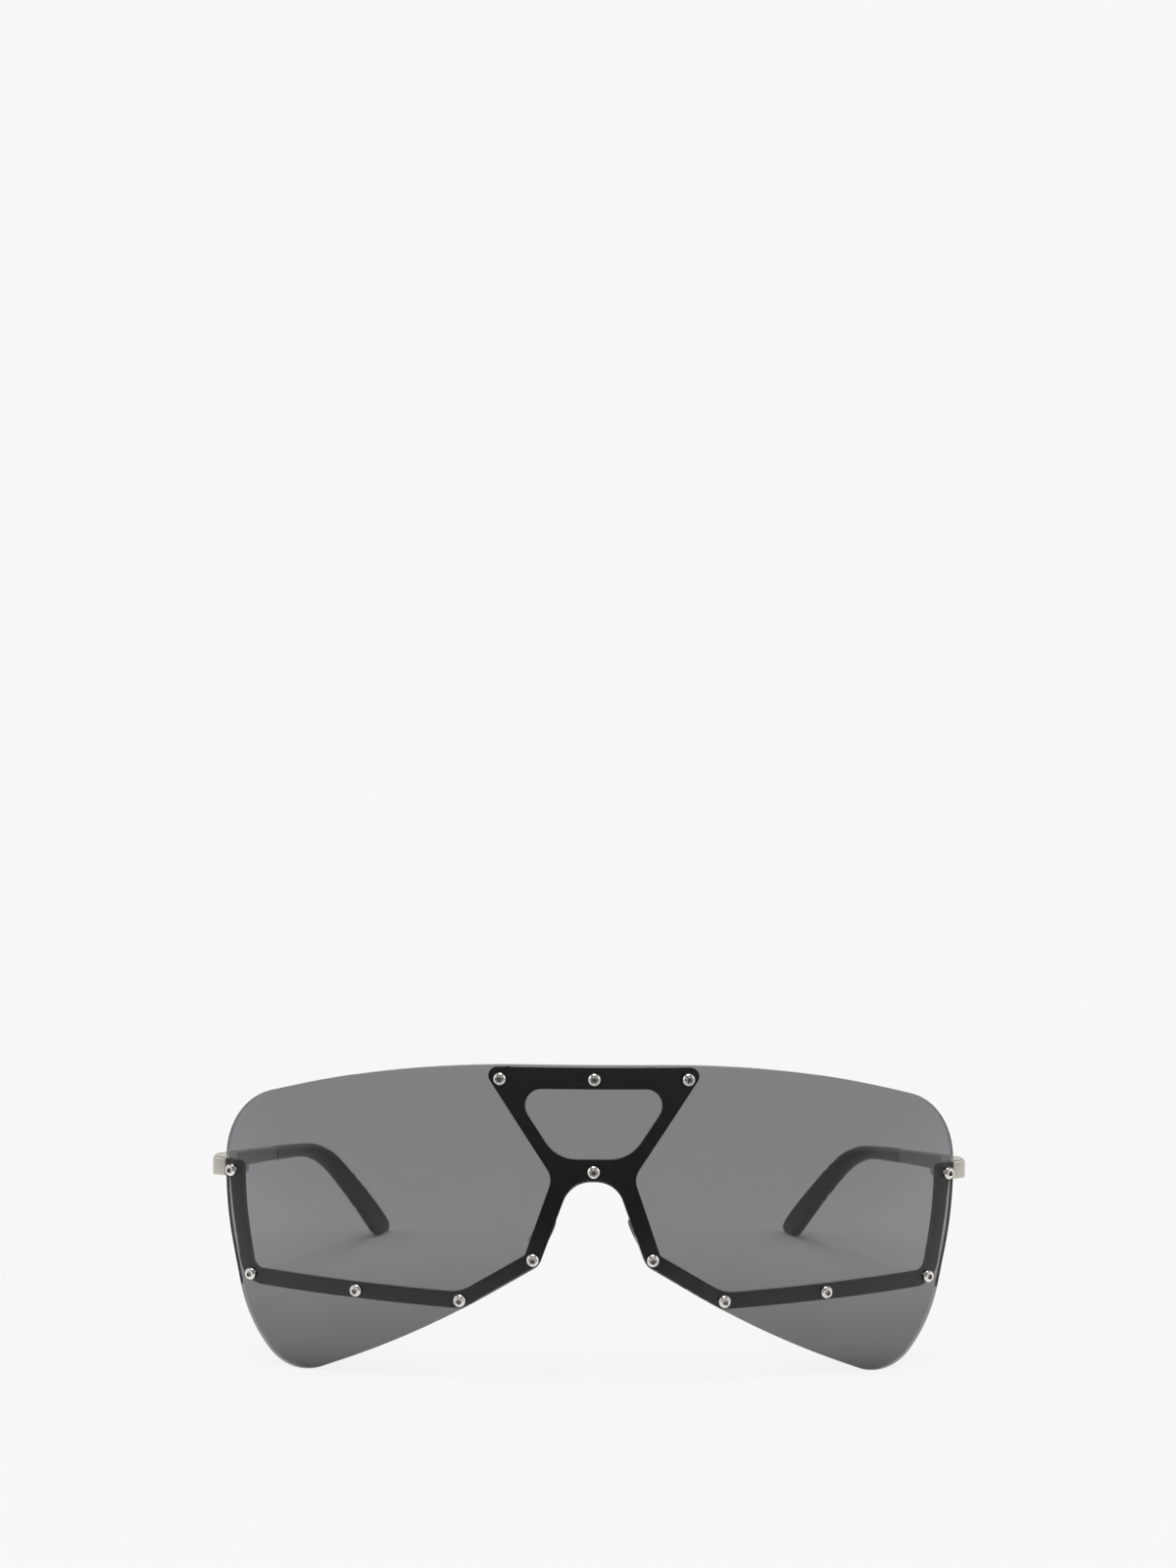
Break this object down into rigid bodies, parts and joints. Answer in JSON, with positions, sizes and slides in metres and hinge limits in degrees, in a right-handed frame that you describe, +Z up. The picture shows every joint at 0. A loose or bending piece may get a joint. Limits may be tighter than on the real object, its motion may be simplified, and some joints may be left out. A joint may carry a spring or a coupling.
{
  "type": "shield sunglasses",
  "caption": "Shield sunglasses: a curved one-piece smoke lens screwed over a black sheet-metal frame, with folding temples and rocking nose pads.",
  "frame": {"origin": "on the table under the middle of the whole part, which rests on the lower corners of its lens and on its temple tips", "axes": "+X across the face to the right-hand end piece as the lens is seen from the front, +Y from the lens back along the temples, +Z up"},
  "size_m": [0.1468, 0.159, 0.0592],
  "materials": {
    "smoke_lens": "smoke grey, glossy, see-through",
    "black_metal": "satin black coating",
    "silver_metal": "satin silver",
    "bright_steel": "polished",
    "black_plastic": "glossy black",
    "clear_silicone": "clear, soft sheen"
  },
  "bodies": {
    "front": {"end_piece_left": "silver_metal", "end_piece_right": "silver_metal", "frame_front": "black_metal", "hinge_screw_left": "bright_steel", "hinge_screw_right": "bright_steel", "pad_arm_left": "silver_metal", "pad_arm_right": "silver_metal", "pad_screw_left": "bright_steel", "pad_screw_right": "bright_steel", "screw_bridge": "bright_steel", "screw_cheek_left": "bright_steel", "screw_cheek_right": "bright_steel", "screw_corner_left": "bright_steel", "screw_corner_right": "bright_steel", "screw_end_left": "bright_steel", "screw_end_right": "bright_steel", "screw_lower_left": "bright_steel", "screw_lower_right": "bright_steel", "screw_nose_left": "bright_steel", "screw_nose_right": "bright_steel", "screw_top_left": "bright_steel", "screw_top_middle": "bright_steel", "screw_top_right": "bright_steel", "shield_lens": "smoke_lens", "spacer_bridge": "black_metal", "spacer_cheek_left": "black_metal", "spacer_cheek_right": "black_metal", "spacer_corner_left": "black_metal", "spacer_corner_right": "black_metal", "spacer_end_left": "black_metal", "spacer_end_right": "black_metal", "spacer_lower_left": "black_metal", "spacer_lower_right": "black_metal", "spacer_nose_left": "black_metal", "spacer_nose_right": "black_metal", "spacer_top_left": "black_metal", "spacer_top_middle": "black_metal", "spacer_top_right": "black_metal"},
    "temple_left": {"temple_arm_left": "silver_metal", "temple_tip_left": "black_plastic"},
    "temple_right": {"temple_arm_right": "silver_metal", "temple_tip_right": "black_plastic"},
    "pad_left": {"nose_pad_left": "clear_silicone"},
    "pad_right": {"nose_pad_right": "clear_silicone"}
  },
  "joints": [
    {"name": "temple_fold_left", "type": "hinge", "parent": "front", "child": "temple_left", "pos_m": [-0.07014, -0.04951, 0.03641], "axis": [0, 0, -1], "range_deg": [0, 83]},
    {"name": "temple_fold_right", "type": "hinge", "parent": "front", "child": "temple_right", "pos_m": [0.07014, -0.04951, 0.03641], "axis": [0, 0, 1], "range_deg": [0, 80]},
    {"name": "pad_rock_left", "type": "hinge", "parent": "front", "child": "pad_left", "pos_m": [-0.01052, -0.0701, 0.02548], "axis": [-0.1046, 0.9927, 0.0604], "range_deg": [-8, 8]},
    {"name": "pad_rock_right", "type": "hinge", "parent": "front", "child": "pad_right", "pos_m": [0.01052, -0.0701, 0.02548], "axis": [0.1046, 0.9927, 0.0604], "range_deg": [-8, 8]}
  ]
}
